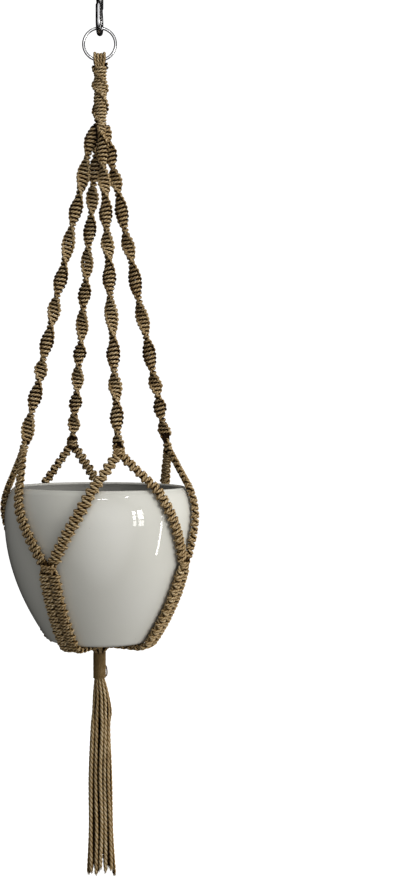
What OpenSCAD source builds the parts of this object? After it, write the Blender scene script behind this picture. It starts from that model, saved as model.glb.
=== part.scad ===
// Hanging macrame planter: an S-hook, a steel ring, a knotted cord hanger and a ceramic pot.
// Millimetres, +Z up. The origin is the hang point, at the inside top of the S-hook.
// The front of the planter faces -Y. An azimuth is measured from the front towards +X.

/* [S-hook] */
// Diameter of the steel rod
hook_wire = 6.4; // [5:0.2:7]
// Radius of both bends, to the middle of the rod
hook_bend = 11.6; // [11:0.2:12.4]
// Height between the middles of the two bends
hook_span = 33.6; // [32:0.4:38]
// Turn of the hook about the vertical, in degrees
hook_turn = 5.4; // [0:0.2:12]

/* [Ring] */
// Outer diameter of the ring
ring_d = 38; // [36:0.5:44]
// Diameter of the ring's wire
ring_wire = 3.2; // [2.6:0.2:3.8]

/* [Crown] */
// Length of the thick sinnet under the ring
crown_l = 71; // [60:1:80]
// Widest side of its twisted section
crown_w = 18.6; // [17:0.2:20]
// Narrow side of its twisted section
crown_t = 13; // [12:0.2:15]

/* [Sinnets] */
// Widest side of a spiral sinnet's section
sinnet_w = 16; // [14:0.2:17]
// Narrow side of a spiral sinnet's section
sinnet_t = 8; // [7:0.2:9]
// Distance from the centre line at which a sinnet starts
sinnet_top_r = 7; // [6:0.5:9]
// Distance from the centre line at which a sinnet divides
branch_r = 81; // [76:1:84]
// Height above the pot's rim at which a sinnet divides
branch_rise = 41; // [38:1:50]
// Azimuth of the front sinnet, in degrees
branch_turn = 15; // [10:1:20]

/* [Cradle] */
// Width of an arm or a leg, along the pot
braid_w = 11.6; // [9:0.2:11.8]
// Thickness of an arm or a leg, off the pot
braid_t = 8; // [7:0.2:9]
// Depth of the joining knots below the rim
join_drop = 78; // [70:1:90]
// Azimuth of the front left joining knot, in degrees
join_turn = -30.5; // [-34:0.5:-27]

/* [Pot] */
// Outer diameter of the rim
rim_d = 188; // [184:1:192]
// Outer diameter where the pot is widest
wide_d = 206.6; // [204:0.2:210]
// Diameter at which the side would meet the base
foot_d = 112.6; // [108:0.2:118]
// Height of the pot
pot_h = 166; // [160:1:172]
// Depth of the widest place below the rim
wide_drop = 34; // [30:1:38]
// Thickness of the wall
wall = 5.6; // [5:0.2:7]
// Thickness of the floor
floor_t = 8; // [6:0.5:10]
// Radius of the rounded edge between the side and the base
foot_round = 10; // [8:0.5:12]
// Depth of the rim below the hang point
rim_depth = 546; // [540:1:580]

/* [Neck and tassel] */
// Outer diameter of the wrapped neck
neck_d = 14; // [12.6:0.2:14.4]
// Thickness of the wrapping
wrap_t = 1.1; // [0.9:0.1:1.3]
// Length of the wrapping
wrap_l = 29; // [27:1:36]
// Length of the tassel below the wrapping
tassel_l = 212; // [190:2:230]
// Diameter of one hanging cord
cord_d = 4.2; // [3.6:0.1:4.4]
// Widest diameter of the tassel
tassel_d = 32; // [26:0.5:34]

/* [Hidden] */
$fn = 64;
gap = 0.3;
side_names = ["front", "right", "back", "left"];
corner_names = ["front_left", "front_right", "back_right", "back_left"];
// Left and right as seen from outside, facing that side or corner
hand_names = ["left", "right"];
strand_count = 16;

jute = [0.64, 0.52, 0.35];
twine = [0.5, 0.4, 0.26];
steel = [0.78, 0.78, 0.8];
glaze = [0.93, 0.93, 0.91];

// Heights along the centre line, downwards from the hang point
hook_c = -(hook_span / 2 + hook_bend - hook_wire / 2);
hook_low = hook_c - hook_span / 2 - hook_bend;
ring_r = (ring_d - ring_wire) / 2;
ring_c = hook_low + (hook_wire + ring_wire) / 2 + gap - ring_r;
ring_low = ring_c - ring_r;
crown_top = ring_low - 3.6;
crown_low = crown_top - crown_l;
rim_z = -rim_depth;
base_z = rim_z - pot_h;
join_z = rim_z - join_drop;
wrap_top = base_z - 13.5;
wrap_low = wrap_top - wrap_l;
tassel_top = wrap_low - 3.8;

// ---------- vectors and swept cords ----------

function unit(v) = v / norm(v);
function mix(a, b, t) = a + (b - a) * t;
function around(az, r, z) = [r * sin(az), -r * cos(az), z];
function azimuth_of(p) = atan2(p[0], -p[1]);
function tangent(path, i) = unit(path[min(i + 1, len(path) - 1)] - path[max(i - 1, 0)]);

// An elliptical ring round p: half width w across the outward direction out, half thickness h along it
function section(p, along, out, w, h, sides) =
    let (across = unit(cross(along, out)), off = cross(across, along))
    [for (k = [0:sides - 1]) p + across * w * cos(360 * k / sides) + off * h * sin(360 * k / sides)];

// A closed tube along path; outs, ws and hs hold the outward direction and half sizes at each point
module sweep(path, outs, ws, hs, sides = 8) {
    n = len(path);
    points = [for (i = [0:n - 1]) each section(path[i], tangent(path, i), outs[i], ws[i], hs[i], sides)];
    walls = [for (i = [0:n - 2], k = [0:sides - 1])
        let (a = i * sides + k, b = i * sides + (k + 1) % sides)
        each [[b, b + sides, a + sides], [b, a + sides, a]]];
    ends = [[for (k = [sides - 1:-1:0]) k], [for (k = [0:sides - 1]) (n - 1) * sides + k]];
    polyhedron(points, concat(walls, ends));
}

function same(path, value) = [for (p = path) value];

// Half turns that a band has made at a distance s down it, counted from its first edge-on place.
// turns holds the distance to that place, then the length of each half turn below it.
function half_turns(turns, s, i = 1) =
    let (made = (s - turns[0]) / turns[i])
    made <= 1 || i == len(turns) - 1 ? made : 1 + half_turns(turns, s - turns[i], i + 1);

// A straight twisted band from a to b
module twisted_band(a, b, w, t, turns) {
    long = norm(b - a);
    steps = ceil(long / 6);
    along = unit(b - a);
    side = unit(cross(along, [0, 1, 0]));
    front = cross(side, along);
    path = [for (i = [0:steps]) mix(a, b, i / steps)];
    leans = [for (i = [0:steps]) 90 - 180 * half_turns(turns, long * i / steps)];
    sweep(path, [for (q = leans) side * sin(q) + front * cos(q)], same(path, w / 2), same(path, t / 2));
}

// ---------- the pot's outline, which the cradle follows ----------

rim_r = rim_d / 2;
wide_r = wide_d / 2;
foot_r = foot_d / 2;
wide_z = rim_z - wide_drop;
side_h = wide_z - base_z;
foot_lean = atan(2 * (wide_r - foot_r) / side_h);
foot_reach = foot_round * tan((90 - foot_lean) / 2);
round_r = foot_r - foot_reach;
round_z = base_z + foot_round;
side_end_z = round_z - foot_round * sin(foot_lean);

function share_above(z) = (z - wide_z) / wide_drop;
function share_below(z) = (wide_z - z) / side_h;
function pot_r(z) = z > wide_z
    ? wide_r - (wide_r - rim_r) * pow(share_above(z), 2)
    : wide_r - (wide_r - foot_r) * pow(share_below(z), 2);
function pot_slope(z) = z > wide_z
    ? -2 * (wide_r - rim_r) * share_above(z) / wide_drop
    : 2 * (wide_r - foot_r) * share_below(z) / side_h;

// A place off the pot's side or base: [radius, height, outward radius part, outward height part]
function off_side(z, lift) =
    let (out = unit([1, -pot_slope(z)]))
    [pot_r(z) + out[0] * lift, z + out[1] * lift, out[0], out[1]];
function off_round(q, lift) =
    [round_r + (foot_round + lift) * cos(q), round_z - (foot_round + lift) * sin(q), cos(q), -sin(q)];
function off_base(r, lift) = [r, base_z - lift, 0, -1];

// ---------- where the cords run ----------

braid_lift = braid_t / 2 + 0.6;
leg_side = braid_w / 2 + 0.3;
sinnet_top_z = crown_low - 1.5;
// How far each sinnet's dividing place lies from an even layout, as it was tied
branch_moves = [[-1.2, 0, -2.5], [-3.3, 0, 1], [-10, -4, 4], [-3, 0, -0.5]];
branches = [for (k = [0:3]) around(branch_turn + 90 * k, branch_r, rim_z + branch_rise) + branch_moves[k]];
// Share of its turn that each arm has made where it meets the rim, for both arms of each sinnet
rim_shares = [[0.45, 0.54], [0.72, 0.64], [0.42, 0.48], [0.45, 0.43]];
// The twist of the crown and of each sinnet as it was tied, in the form that half_turns takes
crown_turns = [14, 22, 26];
sinnet_turns = [
    [43, 34, 38, 33, 39, 45, 38, 32, 33],
    [41, 28, 42, 34, 43, 41, 39, 27, 26, 31],
    [57, 32, 37, 36, 32, 38, 27, 30, 26, 23],
    [30, 41, 36, 41, 37, 32, 38, 24, 34, 39]
];
sinnet_tops = [for (k = [0:3]) around(branch_turn + 90 * k, sinnet_top_r, sinnet_top_z)];
function join_az(k) = join_turn + 90 * k;
join_place = off_side(join_z, braid_lift);
// Azimuth between a joining knot's middle and each of its two braids
join_spread = asin(leg_side / join_place[0]);

// The points of an arm from sinnet k to the joining knot on its left (-1) or right (+1)
function arm_points(k, way) =
    let (
        from = branches[k],
        az_from = 360 * round((90 * k - azimuth_of(from)) / 360) + azimuth_of(from),
        az_to = join_az(way < 0 ? k : k + 1) - way * join_spread,
        az_rim = mix(az_from, az_to, rim_shares[k][way < 0 ? 0 : 1]),
        rim_place = off_side(rim_z - 2, braid_lift),
        on_rim = around(az_rim, rim_place[0], rim_place[1]),
        start = mix(from, on_rim, 0.17),
        free = [for (i = [0:3]) mix(start, on_rim, i / 4)],
        laid = [for (i = [0:7])
            let (q = i / 7, place = off_side(mix(rim_z - 2, join_z + 5, q), braid_lift))
            around(mix(az_rim, az_to, q), place[0], place[1])]
    )
    concat(free, laid);

// Half thickness of a leg where it is pressed flat: three places round the foot, three under the base
pressed = [3.8, 3.5, 3.2, 3, 3, 3];
// Places along a leg's profile, from the joining knot down the side, round the foot and under the base
leg_places = concat(
    [for (i = [0:6]) off_side(mix(join_z - 5.5, side_end_z + 1, i / 6), braid_lift)],
    [for (i = [0:2]) off_round([mix(foot_lean, 90, 0.15), mix(foot_lean, 90, 0.5), 84][i], pressed[i] + 0.6)],
    [for (i = [0:2]) off_base([36, 25, 17][i], pressed[i + 3] + 0.6)]
);
leg_hs = concat([for (i = [0:6]) braid_t / 2], pressed);

// ---------- steel ----------

// One bend of the S-hook with its free arm and half of the slanted middle; z = 0 is the hook's centre
module half_hook() {
    half_span = hook_span / 2;
    touch = acos(hook_bend / half_span);
    slant = sqrt(half_span * half_span - hook_bend * hook_bend);
    free_l = half_span - hook_wire / 4;
    translate([0, 0, -half_span]) {
        rotate([90, 0, 90])
            rotate([0, 0, 180])
                rotate_extrude(angle = 270 - touch)
                    translate([hook_bend, 0]) circle(d = hook_wire);
        translate([0, -hook_bend, 0]) cylinder(d = hook_wire, h = free_l);
        translate([0, -hook_bend, free_l]) sphere(d = hook_wire);
    }
    rotate([90 + touch, 0, 0]) cylinder(d = hook_wire, h = slant);
}

module s_hook() color(steel)
    translate([0, 0, hook_c])
        rotate([0, 0, -hook_turn]) {
            half_hook();
            rotate([180, 0, 0]) half_hook();
        }

module ring() color(steel)
    translate([0, 0, ring_c])
        rotate([90, 0, 0])
            rotate_extrude() translate([ring_r, 0]) circle(d = ring_wire);

// ---------- cords folded over the ring ----------

loop_w = 3.3;
loop_t = 2.4;
loop_spacing = 3.4;
// Height that the ring's wire has risen at a distance x from its lowest place
function ring_rise(x) = ring_r - sqrt(ring_r * ring_r - x * x);

// A strap folded over the ring's wire at x, with its inner side at radius r
module folded_cord(x, r) {
    drop = ring_low - crown_top;
    translate([x - loop_w / 2, 0, ring_low])
        rotate([90, 0, 90])
            linear_extrude(loop_w)
                difference() {
                    union() {
                        circle(r + loop_t);
                        translate([-r - loop_t, -drop]) square([2 * (r + loop_t), drop]);
                    }
                    circle(r);
                    translate([-r, -drop - 1]) square([2 * r, drop + 1]);
                    translate([-20, -drop - 20]) square([40, 20]);
                }
}

module folded_cords(layer) color(jute)
    for (i = [0:3])
        let (x = (i - 1.5) * loop_spacing)
        folded_cord(x, ring_wire / 2 + gap + ring_rise(abs(x) + loop_w / 2) + layer * (loop_t + 0.1));

module loops_inner() folded_cords(0);
module loops_outer() folded_cords(1);

// ---------- sinnets and knots ----------

module crown_sinnet() color(jute)
    twisted_band([0, 0, crown_top], [0, 0, crown_low], crown_w, crown_t, crown_turns);

module sinnet(k) color(jute)
    twisted_band(sinnet_tops[k], mix(sinnet_tops[k], branches[k], 0.985), sinnet_w, sinnet_t,
        sinnet_turns[k]);

// The tight knot that locks a sinnet before its cords divide
module split_knot(k) {
    along = unit(branches[k] - sinnet_tops[k]);
    path = [for (s = [-7, -4.5, 0, 3.5, 5.5]) branches[k] + along * s];
    out = around(azimuth_of(branches[k]), 1, 0);
    color(jute) sweep(path, same(path, out), [5.5, 7.6, 8, 7, 4.4], [4, 5.2, 5.4, 4.8, 3.4]);
}

function arm_outs(points) = [for (p = points)
    let (r = norm([p[0], p[1]]), z = min(p[2], rim_z), out = unit([1, -pot_slope(z)]))
    [p[0] / r * out[0], p[1] / r * out[0], out[1]]];

module arm(k, way) {
    path = arm_points(k, way);
    color(jute) sweep(path, arm_outs(path), same(path, braid_w / 2), same(path, braid_t / 2));
}

// The knot that ties two neighbouring arms together on the pot's side
module join_knot(c) {
    places = [for (z = [7, 4, -4, -6.5]) off_side(join_z + z, braid_lift)];
    path = [for (p = places) around(join_az(c), p[0], p[1])];
    outs = [for (p = places) around(join_az(c), p[2], p[3])];
    color(jute) sweep(path, outs, [7.6, 9.4, 9.4, 8], [3.4, 4.2, 4.2, 3.4], 12);
}

module leg(c, way) {
    aside = around(join_az(c) + 90, leg_side * way, 0);
    path = [for (p = leg_places) around(join_az(c), p[0], p[1]) + aside];
    outs = [for (p = leg_places) around(join_az(c), p[2], p[3])];
    color(jute) sweep(path, outs, same(path, braid_w / 2), leg_hs);
}

// ---------- neck ----------

core_r = neck_d / 2 - wrap_t - 0.05;

module base_gather() color(jute)
    rotate_extrude()
        polygon([
            [0, base_z - 0.8], [14, base_z - 0.8], [17.5, base_z - 2.4], [18, base_z - 5],
            [15.5, base_z - 8.4], [10.5, base_z - 10.6], [7.2, base_z - 12],
            [core_r, wrap_top + 0.2], [core_r, wrap_low + 0.6], [0, wrap_low + 0.6]
        ]);

module neck_wrap() color(twine)
    translate([0, 0, wrap_low])
        difference() {
            cylinder(d = neck_d, h = wrap_l);
            translate([0, 0, -1]) cylinder(r = core_r + 0.05, h = wrap_l + 2);
        }

// The wrapping twine's end, tucked under its last turns
module wrap_tail() color(twine)
    translate([neck_d / 2 + 0.6, -1.4, wrap_low + 7]) sphere(1.7);

// ---------- tassel ----------

// Azimuth of each cord at the neck, and 1 where it lies in the outer ring there, row by row from the front
neck_places = [
    [-65, 1], [-33, 1], [0, 1], [33, 1], [65, 1],
    [-98, 1], [-108, 0], [-36, 0], [36, 0], [108, 0], [98, 1],
    [-126, 1], [-158, 1], [180, 0], [158, 1], [126, 1]
];
// Shares of the tassel's length at which its outline is given
tassel_steps = [0, 0.075, 0.16, 0.245, 0.5, 0.77, 1];
outer_shape = [5, 0.51, 0.605, 0.69, 0.765, 0.865, 1];
inner_shape = [2.1, 0.22, 0.3, 0.36, 0.4, 0.45, 0.5];
// How far the cords have gone at each step from rings at the neck to three flat rows
loosened = [0, 0, 0.25, 0.5, 1, 1, 1];
// How far the middle of the tassel hangs off the centre line at each step
tassel_drift = [0.4, 1.9, 2.2, 1.2, 0.6, 1.2, 1.6];
cord_shape = [0.55, 0.76, 0.92, 0.94, 0.96, 0.96, 0.96];
outer_r = (tassel_d - cord_d) / 2;
// Half depth of the three rows as a share of their half width, and how far each cord stands forward or back
row_depth = 0.45;
row_stagger = 0.5;
// How much shorter than the longest each cord was cut
cut_steps = [0, 5, 2, 9, 4, 7, 1, 10, 3, 6, 8];

// Place across the tassel of cord i at step s: the rows hold 5, 6 and 5 cords
function tassel_place(i, s) =
    let (
        row = i <= 5 ? -1 : i <= 11 ? 0 : 1,
        column = i - [3, 8.5, 14][row + 1],
        ring_r = neck_places[i - 1][1] == 1 ? outer_shape[s] : inner_shape[s],
        in_ring = around(neck_places[i - 1][0], s == 0 ? ring_r : ring_r * outer_r, 0),
        half_w = outer_shape[s] * outer_r,
        back = floor(abs(column)) % 2 == 0 ? -row_stagger : row_stagger,
        in_row = [half_w * column / 2.5, half_w * row * row_depth + back, 0]
    )
    mix(in_ring, in_row, loosened[s]);

module tassel_cord(i) {
    l = tassel_l - 5 - cut_steps[i % 11];
    path = [for (s = [0:6]) tassel_place(i, s) + [tassel_drift[s], 0, tassel_top - l * tassel_steps[s]]];
    radii = [for (s = cord_shape) s * cord_d / 2];
    color(jute) sweep(path, same(path, around(neck_places[i - 1][0], 1, 0)), radii, radii);
}

// ---------- pot ----------

side_zs = [for (i = [1:6]) mix(rim_z, wide_z, i / 6)];
lower_zs = [for (i = [1:14]) mix(wide_z, side_end_z, i / 14)];
lip_r = wall / 2;

module pot() {
    inner_low = base_z + floor_t;
    inner_round = 14;
    outer = concat(
        [for (z = concat(side_zs, lower_zs)) [pot_r(z), z]],
        [for (q = [mix(foot_lean, 90, 0.25), mix(foot_lean, 90, 0.5), mix(foot_lean, 90, 0.75), 90])
            [round_r + foot_round * cos(q), round_z - foot_round * sin(q)]]
    );
    inner_zs = [for (z = concat(side_zs, lower_zs)) if (z > inner_low + inner_round) z];
    low_r = pot_r(inner_low + inner_round) - wall;
    inner = [for (i = [len(inner_zs) - 1:-1:0]) [pot_r(inner_zs[i]) - wall, inner_zs[i]]];
    bowl = [for (q = [90:-18:0])
        [low_r - inner_round * (1 - cos(q)), inner_low + inner_round * (1 - sin(q))]];
    lip = [for (q = [165:-15:15]) [rim_r - lip_r + lip_r * cos(q), rim_z - lip_r + lip_r * sin(q)]];
    color(glaze) rotate_extrude()
        polygon(concat(outer, [[0, base_z], [0, inner_low]], bowl, inner, lip));
}

// ---------- what is drawn ----------

s_hook();
ring();
loops_inner();
loops_outer();
crown_sinnet();
for (k = [0:3]) {
    sinnet(k);
    split_knot(k);
    arm(k, -1);
    arm(k, 1);
    join_knot(k);
    leg(k, -1);
    leg(k, 1);
}
base_gather();
neck_wrap();
wrap_tail();
pot();
for (i = [1:strand_count])
    tassel_cord(i);
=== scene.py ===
"""Looks for the hanging macrame planter: knotted jute, wrapped neck, tassel, glazed pot, steel and light.

Lengths are in millimetres until a mesh is built. The camera, the stage and the lamps are in metres.
The object's frame is the CAD frame: +Z up, front towards -Y.
"""

import math

import bpy
import numpy as np
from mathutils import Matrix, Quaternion, Vector


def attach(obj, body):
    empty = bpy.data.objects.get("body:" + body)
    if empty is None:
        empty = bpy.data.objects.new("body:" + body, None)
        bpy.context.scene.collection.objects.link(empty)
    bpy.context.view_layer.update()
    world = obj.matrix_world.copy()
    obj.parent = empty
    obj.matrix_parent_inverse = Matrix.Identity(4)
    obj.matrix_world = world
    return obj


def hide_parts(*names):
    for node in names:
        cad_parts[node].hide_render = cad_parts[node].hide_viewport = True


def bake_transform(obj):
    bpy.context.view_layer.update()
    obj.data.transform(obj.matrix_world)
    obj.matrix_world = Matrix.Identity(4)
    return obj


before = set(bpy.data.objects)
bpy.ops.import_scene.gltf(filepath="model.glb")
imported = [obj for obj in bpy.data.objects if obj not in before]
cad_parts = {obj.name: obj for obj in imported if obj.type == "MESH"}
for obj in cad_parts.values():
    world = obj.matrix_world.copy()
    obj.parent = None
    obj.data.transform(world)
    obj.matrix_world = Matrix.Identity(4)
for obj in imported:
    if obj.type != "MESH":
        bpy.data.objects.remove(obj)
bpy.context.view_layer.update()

MM = 0.001
rng = np.random.default_rng(41)
scene = bpy.context.scene

# ---------- sizes repeated from the CAD ----------

HOOK_WIRE, HOOK_BEND, HOOK_SPAN, HOOK_TURN = 6.4, 11.6, 33.6, 5.4
HOOK_C = -(HOOK_SPAN / 2 + HOOK_BEND - HOOK_WIRE / 2)
RING_R, RING_WIRE = 17.4, 3.2
CROWN_TOP, CROWN_LOW = -86.9, -157.9
RING_LOW = CROWN_TOP + 3.6
RIM_Z, WIDE_DROP, POT_H = -546.0, 34.0, 166.0
RIM_R, WIDE_R, FOOT_R = 94.0, 103.3, 56.3
WALL, FLOOR_T, FOOT_ROUND, INNER_ROUND = 5.6, 8.0, 10.0, 14.0
WIDE_Z, BASE_Z = RIM_Z - WIDE_DROP, RIM_Z - POT_H
SIDE_H = WIDE_Z - BASE_Z
FOOT_LEAN = math.degrees(math.atan(2 * (WIDE_R - FOOT_R) / SIDE_H))
ROUND_R = FOOT_R - FOOT_ROUND * math.tan(math.radians((90 - FOOT_LEAN) / 2))
ROUND_Z = BASE_Z + FOOT_ROUND
SIDE_END_Z = ROUND_Z - FOOT_ROUND * math.sin(math.radians(FOOT_LEAN))
JOIN_Z, JOIN_TURN = RIM_Z - 78, -30.5
BRAID_LIFT, LEG_SIDE = 4.6, 6.1
RIM_SHARES = ((0.45, 0.54), (0.72, 0.64), (0.42, 0.48), (0.45, 0.43))
PRESSED = (3.8, 3.5, 3.2, 3.0, 3.0, 3.0)
WRAP_TOP = BASE_Z - 13.5
WRAP_LOW = WRAP_TOP - 29
NECK_R = 7.0
TASSEL_TOP, TASSEL_L, TASSEL_R, CORD_D = WRAP_LOW - 3.8, 212.0, 13.9, 4.2
SIDES = ("front", "right", "back", "left")
CORNERS = ("front_left", "front_right", "back_right", "back_left")
HANDS = (("left", -1), ("right", 1))
CROWN_TURNS = [14, 22, 26]
SINNET_TURNS = (
    [43, 34, 38, 33, 39, 45, 38, 32, 33],
    [41, 28, 42, 34, 43, 41, 39, 27, 26, 31],
    [57, 32, 37, 36, 32, 38, 27, 30, 26, 23],
    [30, 41, 36, 41, 37, 32, 38, 24, 34, 39],
)
SINNET_AZ, SINNET_TOP_R, BRANCH_R, BRANCH_RISE = 15, 7, 81, 41
BRANCH_MOVES = ([-1.2, 0, -2.5], [-3.3, 0, 1], [-10, -4, 4], [-3, 0, -0.5])


def unit(v):
    v = np.asarray(v, float)
    return v / np.linalg.norm(v, axis=-1, keepdims=True)


def mix(a, b, t):
    return a + (b - a) * t


def around(az, r, z):
    a = math.radians(az)
    return np.array([r * math.sin(a), -r * math.cos(a), z])


def azimuth_of(p):
    return math.degrees(math.atan2(p[0], -p[1]))


# ---------- camera ----------

camera = bpy.data.objects.new("camera", bpy.data.cameras.new("camera"))
scene.collection.objects.link(camera)
camera.location = (0, -1.473, -0.467)
camera.rotation_euler = (math.radians(90), 0, 0)
camera.data.sensor_width = 36
camera.data.lens = 55.55
camera.data.shift_x = 0.12
camera.data.shift_y = -0.0296
camera.data.clip_start = 0.05
scene.camera = camera

# ---------- curves ----------


def smooth(points, per):
    """A Catmull-Rom curve through the rows of points, with `per` steps to each span."""
    p = np.asarray(points, float)
    p = np.vstack([2 * p[0] - p[1], p, 2 * p[-1] - p[-2]])
    t = (np.arange(per) / per)[:, None, None]
    a, b, c, d = p[:-3], p[1:-2], p[2:-1], p[3:]
    q = 0.5 * (
        2 * b
        + (c - a) * t
        + (2 * a - 5 * b + 4 * c - d) * t**2
        + (3 * b - a - 3 * c + d) * t**3
    )
    return np.vstack([q.transpose(1, 0, 2).reshape(-1, p.shape[1]), p[-2]])


def lengths(points):
    """How far along the curve each point is."""
    return np.concatenate(
        [[0], np.cumsum(np.linalg.norm(np.diff(points[:, :3], axis=0), axis=1))]
    )


def respace(points, step):
    """The same curve with its points about `step` apart."""
    s = lengths(points)
    at = np.linspace(0, s[-1], max(3, int(s[-1] / step) + 1))
    return np.stack(
        [np.interp(at, s, points[:, k]) for k in range(points.shape[1])], 1
    )


class Line:
    """A centre line with an outward direction. A place on it is (u across, w outwards, s along)."""

    def __init__(self, points, outs, lean=None):
        both = np.hstack([np.asarray(points, float), np.asarray(outs, float)])
        fine = respace(smooth(both, 10), 1.0) if len(both) > 2 else respace(both, 2.0)
        self.p = fine[:, :3]
        self.s = lengths(fine)
        self.t = unit(np.gradient(self.p, axis=0))
        out = fine[:, 3:] - self.t * np.sum(fine[:, 3:] * self.t, 1, keepdims=True)
        self.out = unit(out)
        self.across = np.cross(self.out, self.t)
        self.lean = lean
        self.length = self.s[-1]

    def at(self, s):
        """Position, across and outward directions at distances s, carried on straight past both ends."""
        s = np.asarray(s, float)
        inside = np.clip(s, 0, self.length)

        def read(table):
            return np.stack([np.interp(inside, self.s, table[:, k]) for k in range(3)], 1)

        p = read(self.p) + (s - inside)[:, None] * read(self.t)
        across, out = read(self.across), read(self.out)
        if self.lean is not None:
            q = np.array([self.lean(x) for x in s])[:, None]
            across, out = (
                across * np.cos(q) + out * np.sin(q),
                out * np.cos(q) - across * np.sin(q),
            )
        return p, across, out

    def strand(self, places, a, b, r, shake=0.0):
        """Rows for Weave.tube from places in shares of a and b: position, outward direction, radius."""
        q = np.array(places, float)
        if shake:
            q[:, :2] += rng.normal(0, shake, (len(q), 2))
        p, across, out = self.at(q[:, 2])
        u, w = q[:, :1], q[:, 1:2]
        away = unit(across * (u / a) + out * (w / b) + 1e-6)
        return np.hstack(
            [p + across * u * a + out * w * b, away, np.full((len(q), 1), r)]
        )


# ---------- meshes ----------

PLIES = {9: [0.7, 1.0, 0.97] * 3, 8: [1.0, 0.96, 0.8, 0.96] * 2, 6: [1.0] * 6, 3: [1.0] * 3}


class Weave:
    """Gathers tubes into one mesh. Its UV is (share round, mm along).

    It also keeps how open each place is, which sets its painted shade, and how light each cord's own colour
    is.
    """

    def __init__(self):
        self.co, self.quads, self.caps = [], [], []
        self.uv, self.open, self.tone = [], [], []
        self.count = 0

    def tube(self, rows, sides=9, step=0.95, lay=-12.5, tone=None, blunt=True, lit=None, dim=1.0):
        """A twisted cord along rows of (x, y, z, outward x, y, z, radius). The outward direction sets the
        painted shade, darker where the surface turns away from it; lit, if given, is one painted shade for
        the whole cord, and dim darkens it. Returns its ring centres.
        """
        fine = respace(smooth(rows, 6), step)
        c, away, r = fine[:, :3], unit(fine[:, 3:6]), fine[:, 6]
        t = unit(np.gradient(c, axis=0))
        if blunt:
            head = [(-0.55, 0.05), (-0.45, 0.55), (-0.2, 0.88)]
            tail = [(-x, k) for x, k in reversed(head)]
            first = [c[0] + t[0] * r[0] * x for x, _ in head]
            last = [c[-1] + t[-1] * r[-1] * x for x, _ in tail]
            c = np.vstack([first, c[1:-1], last])
            r = np.concatenate([[r[0] * k for _, k in head], r[1:-1], [r[-1] * k for _, k in tail]])
            away = np.vstack([[away[0]] * 3, away[1:-1], [away[-1]] * 3])
            t = np.vstack([[t[0]] * 3, t[1:-1], [t[-1]] * 3])
        n = np.zeros_like(c)
        n[0] = unit(np.cross(t[0], [0.3, 0.5, 0.81]))
        for i in range(1, len(c)):
            v = n[i - 1] - t[i] * np.dot(n[i - 1], t[i])
            n[i] = v / np.linalg.norm(v)
        b = np.cross(t, n)
        s = lengths(c)
        turn = rng.uniform(0, 2 * math.pi) + (2 * math.pi * s / lay if lay else 0 * s)
        k = np.arange(sides)
        angle = turn[:, None] + 2 * math.pi * k / sides
        d = n[:, None] * np.cos(angle)[..., None] + b[:, None] * np.sin(angle)[..., None]
        shape = np.array(PLIES[sides])
        co = c[:, None] + d * (r[:, None] * shape)[..., None]
        rings = len(c)
        i, j = np.meshgrid(np.arange(rings - 1), k, indexing="ij")
        j2 = (j + 1) % sides
        quad = np.stack([i * sides + j, i * sides + j2, (i + 1) * sides + j2, (i + 1) * sides + j], -1)
        self.quads.append(quad.reshape(-1, 4) + self.count)
        self.caps.append([list(k[::-1] + self.count), list(k + (rings - 1) * sides + self.count)])
        u0, u1 = j / sides, (j + 1) / sides
        v0, v1 = s[i], s[i + 1]
        self.uv.append(np.stack([u0, v0, u1, v0, u1, v1, u0, v1], -1).reshape(-1, 8))
        # painted shade: how far each place faces outwards, or the given lit, scaled by dim
        opening = np.sum(d * away[:, None], -1) if lit is None else np.full(d.shape[:2], lit)
        self.open.append(opening.ravel() * dim)
        level = rng.uniform(0, 1) if tone is None else tone
        self.tone.append(np.full(rings * sides, level))
        self.co.append(co.reshape(-1, 3))
        self.count += rings * sides
        return c

    def hairs(self, rows, count, long, thick=0.09, spread=0.9, lit=0.8):
        """Stray fibres that leave the surface of a cord at random places."""
        if not count:
            return
        fine = respace(smooth(rows, 6), 1.5)
        c, r = fine[:, :3], fine[:, 6]
        t = unit(np.gradient(c, axis=0))
        for i in rng.integers(1, len(c) - 1, count):
            side = unit(np.cross(t[i], rng.normal(0, 1, 3)))
            along = t[i] * rng.choice([-1, 1])
            reach = long * rng.uniform(0.5, 1.2)
            start = c[i] + side * r[i] * 0.7
            mid = start + (side * spread * 0.6 + along * 0.5) * reach * 0.5
            end = mid + (side * spread * rng.uniform(-0.1, 0.6) + along * 0.8) * reach * 0.5
            places = ((start, thick), (mid, thick * 0.8), (end, thick * 0.4))
            rough = np.array([np.hstack([p, side, [q]]) for p, q in places])
            # each stray fibre gets one light painted shade, lit
            self.tube(rough, sides=3, step=reach / 3, lay=0, blunt=False, tone=rng.uniform(0.3, 1), lit=lit)

    def build(self, name, material):
        co = np.vstack(self.co) * MM
        quads = np.vstack(self.quads)
        caps = [face for pair in self.caps for face in pair]
        corners = np.concatenate([quads.ravel()] + [np.array(f) for f in caps])
        sizes = np.concatenate([np.full(len(quads), 4), [len(f) for f in caps]])
        starts = np.concatenate([[0], np.cumsum(sizes)[:-1]])
        mesh = bpy.data.meshes.new(name)
        mesh.vertices.add(len(co))
        mesh.vertices.foreach_set("co", co.astype(np.float32).ravel())
        mesh.loops.add(len(corners))
        mesh.loops.foreach_set("vertex_index", corners.astype(np.int32))
        mesh.polygons.add(len(sizes))
        mesh.polygons.foreach_set("loop_start", starts.astype(np.int32))
        mesh.polygons.foreach_set("use_smooth", np.ones(len(sizes), bool))
        mesh.update(calc_edges=True)
        layer = mesh.uv_layers.new(name="strand")
        uv = np.zeros((len(corners), 2), np.float32)
        uv[: len(quads) * 4] = np.vstack(self.uv).reshape(-1, 2)
        layer.data.foreach_set("uv", uv.ravel())
        for label, values in (("open", self.open), ("tone", self.tone)):
            attribute = mesh.attributes.new(label, "FLOAT", "POINT")
            attribute.data.foreach_set("value", np.concatenate(values).astype(np.float32))
        mesh.materials.append(material)
        obj = bpy.data.objects.new(name, mesh)
        scene.collection.objects.link(obj)
        return obj


# ---------- materials ----------


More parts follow.
